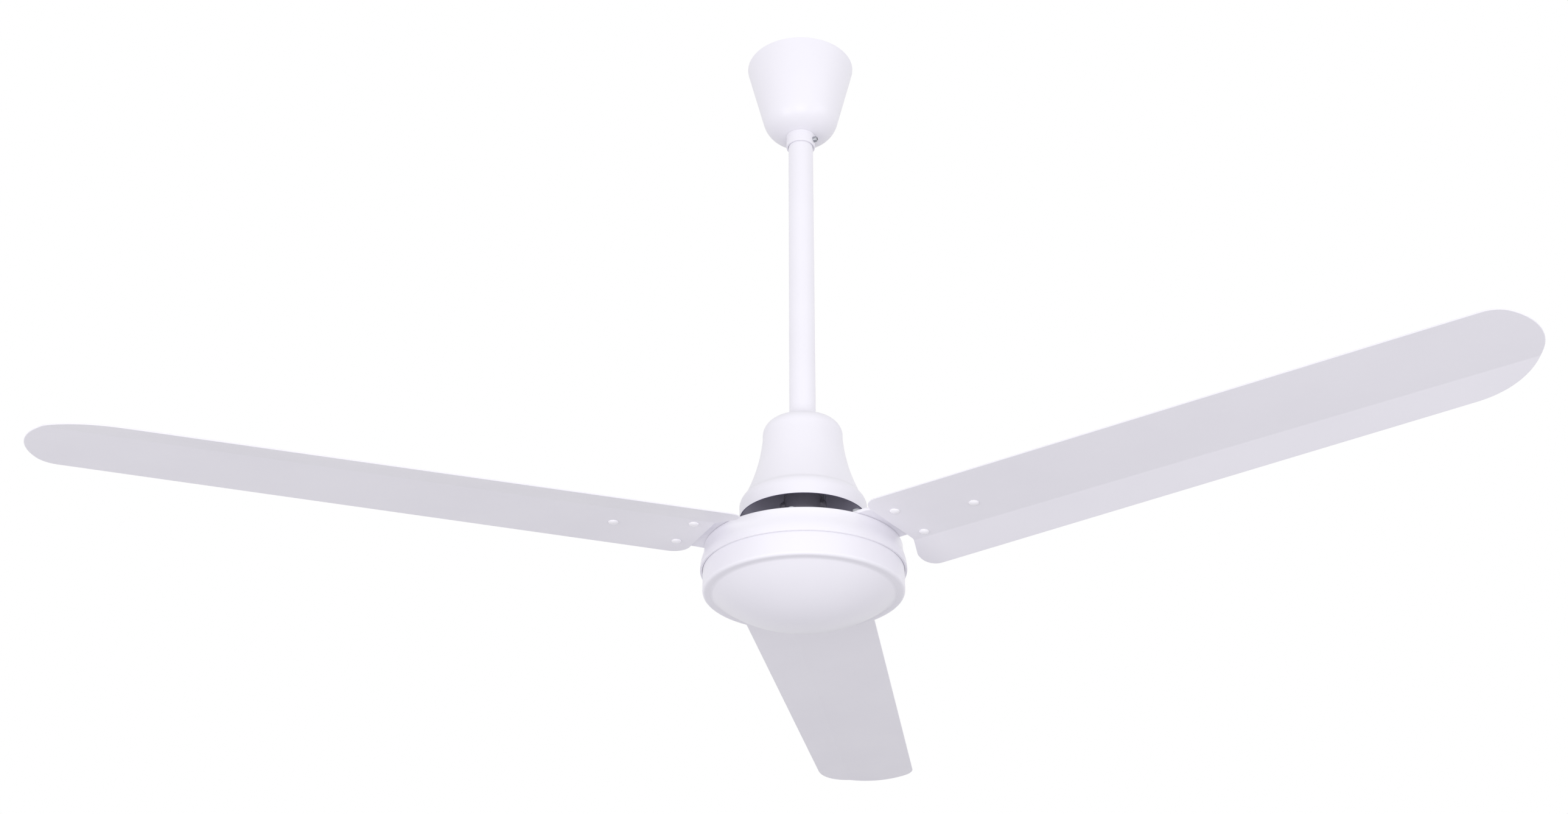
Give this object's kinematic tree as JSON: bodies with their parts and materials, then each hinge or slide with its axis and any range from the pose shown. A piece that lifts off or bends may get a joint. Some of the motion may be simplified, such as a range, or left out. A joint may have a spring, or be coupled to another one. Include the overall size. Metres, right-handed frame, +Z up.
{
  "type": "industrial ceiling fan",
  "caption": "Ceiling fan on a downrod: tapered upper canopy, bell-shaped lower canopy, drum motor with a shallow domed cover, and long creased sheet-steel blades riveted to blade irons.",
  "frame": {"origin": "centre of the ceiling bracket's top face, on the fan's axis", "axes": "+Z up into the ceiling; the fan hangs below the origin. +X along the line of the two fixing slots. At rest one blade points along +Y, which is away from the picture's camera."},
  "size_m": [1.2538, 1.1033, 0.6658],
  "materials": {
    "white_enamel": "semi-gloss white with a faint lavender cast",
    "blade_enamel": "semi-gloss white",
    "painted_rivets": "semi-gloss white",
    "zinc_plate": "bright zinc plate",
    "brass_screw": "satin",
    "terminal_plastic": "matte moulded",
    "bush_rubber": "matte",
    "coupler_iron": "painted casting",
    "capacitor_case": "semi-gloss moulded",
    "ground_steel": "ground",
    "spring_steel": "blued",
    "core_steel": "stacked sheet",
    "winding_enamel": "varnished winding wire",
    "cage_aluminium": "as cast"
  },
  "bodies": {
    "ceiling_mount": {"ceiling_bracket": "zinc_plate", "hanger_bolt": "zinc_plate", "hanger_nut": "zinc_plate", "hanger_split_pin": "zinc_plate", "terminal_block": "terminal_plastic", "terminal_screws": "brass_screw", "earth_screw": "brass_screw"},
    "downrod": {"downrod": "white_enamel", "hanger_bushes": "bush_rubber", "rod_coupler": "coupler_iron", "coupling_bolt": "zinc_plate", "coupling_nut": "zinc_plate", "coupling_split_pin": "zinc_plate", "rod_lock_screws": "zinc_plate", "shaft_lock_screws": "zinc_plate", "coupler_lock_nuts": "zinc_plate", "run_capacitor": "capacitor_case", "capacitor_clip": "zinc_plate", "motor_shaft": "ground_steel", "upper_circlip": "spring_steel", "lower_circlip": "spring_steel", "stator_core": "core_steel", "stator_windings": "winding_enamel", "upper_bearing_inner_ring": "ground_steel", "lower_bearing_inner_ring": "ground_steel"},
    "upper_canopy": {"upper_canopy": "white_enamel", "upper_canopy_screw": "zinc_plate"},
    "lower_canopy": {"lower_canopy": "white_enamel", "lower_canopy_grommet": "bush_rubber"},
    "rotor": {"upper_shell": "white_enamel", "lower_shell": "white_enamel", "bottom_cover": "white_enamel", "rotor_core": "core_steel", "rotor_cage": "cage_aluminium", "upper_bearing_outer_ring": "ground_steel", "lower_bearing_outer_ring": "ground_steel", "shell_screws": "zinc_plate", "blade_1": "blade_enamel", "blade_iron_1": "white_enamel", "blade_rivets_1": "painted_rivets", "iron_screws_1": "zinc_plate", "iron_washers_1": "zinc_plate", "blade_2": "blade_enamel", "blade_iron_2": "white_enamel", "blade_rivets_2": "painted_rivets", "iron_screws_2": "zinc_plate", "iron_washers_2": "zinc_plate", "blade_3": "blade_enamel", "blade_iron_3": "white_enamel", "blade_rivets_3": "painted_rivets", "iron_screws_3": "zinc_plate", "iron_washers_3": "zinc_plate"}
  },
  "joints": [
    {"name": "downrod_sway", "type": "hinge", "parent": "ceiling_mount", "child": "downrod", "pos_m": [0, 0, -0.036], "axis": [0, 1, 0], "range_deg": [-1.6, 1.6]},
    {"name": "rotor_spin", "type": "hinge", "parent": "downrod", "child": "rotor", "pos_m": [0, 0, -0.59], "axis": [0, 0, 1], "continuous": true},
    {"name": "upper_canopy_slide", "type": "slide", "parent": "downrod", "child": "upper_canopy", "axis": [0, 0, -1], "range_m": [0, 0.15]},
    {"name": "lower_canopy_slide", "type": "slide", "parent": "downrod", "child": "lower_canopy", "axis": [0, 0, 1], "range_m": [0, 0.15]}
  ]
}
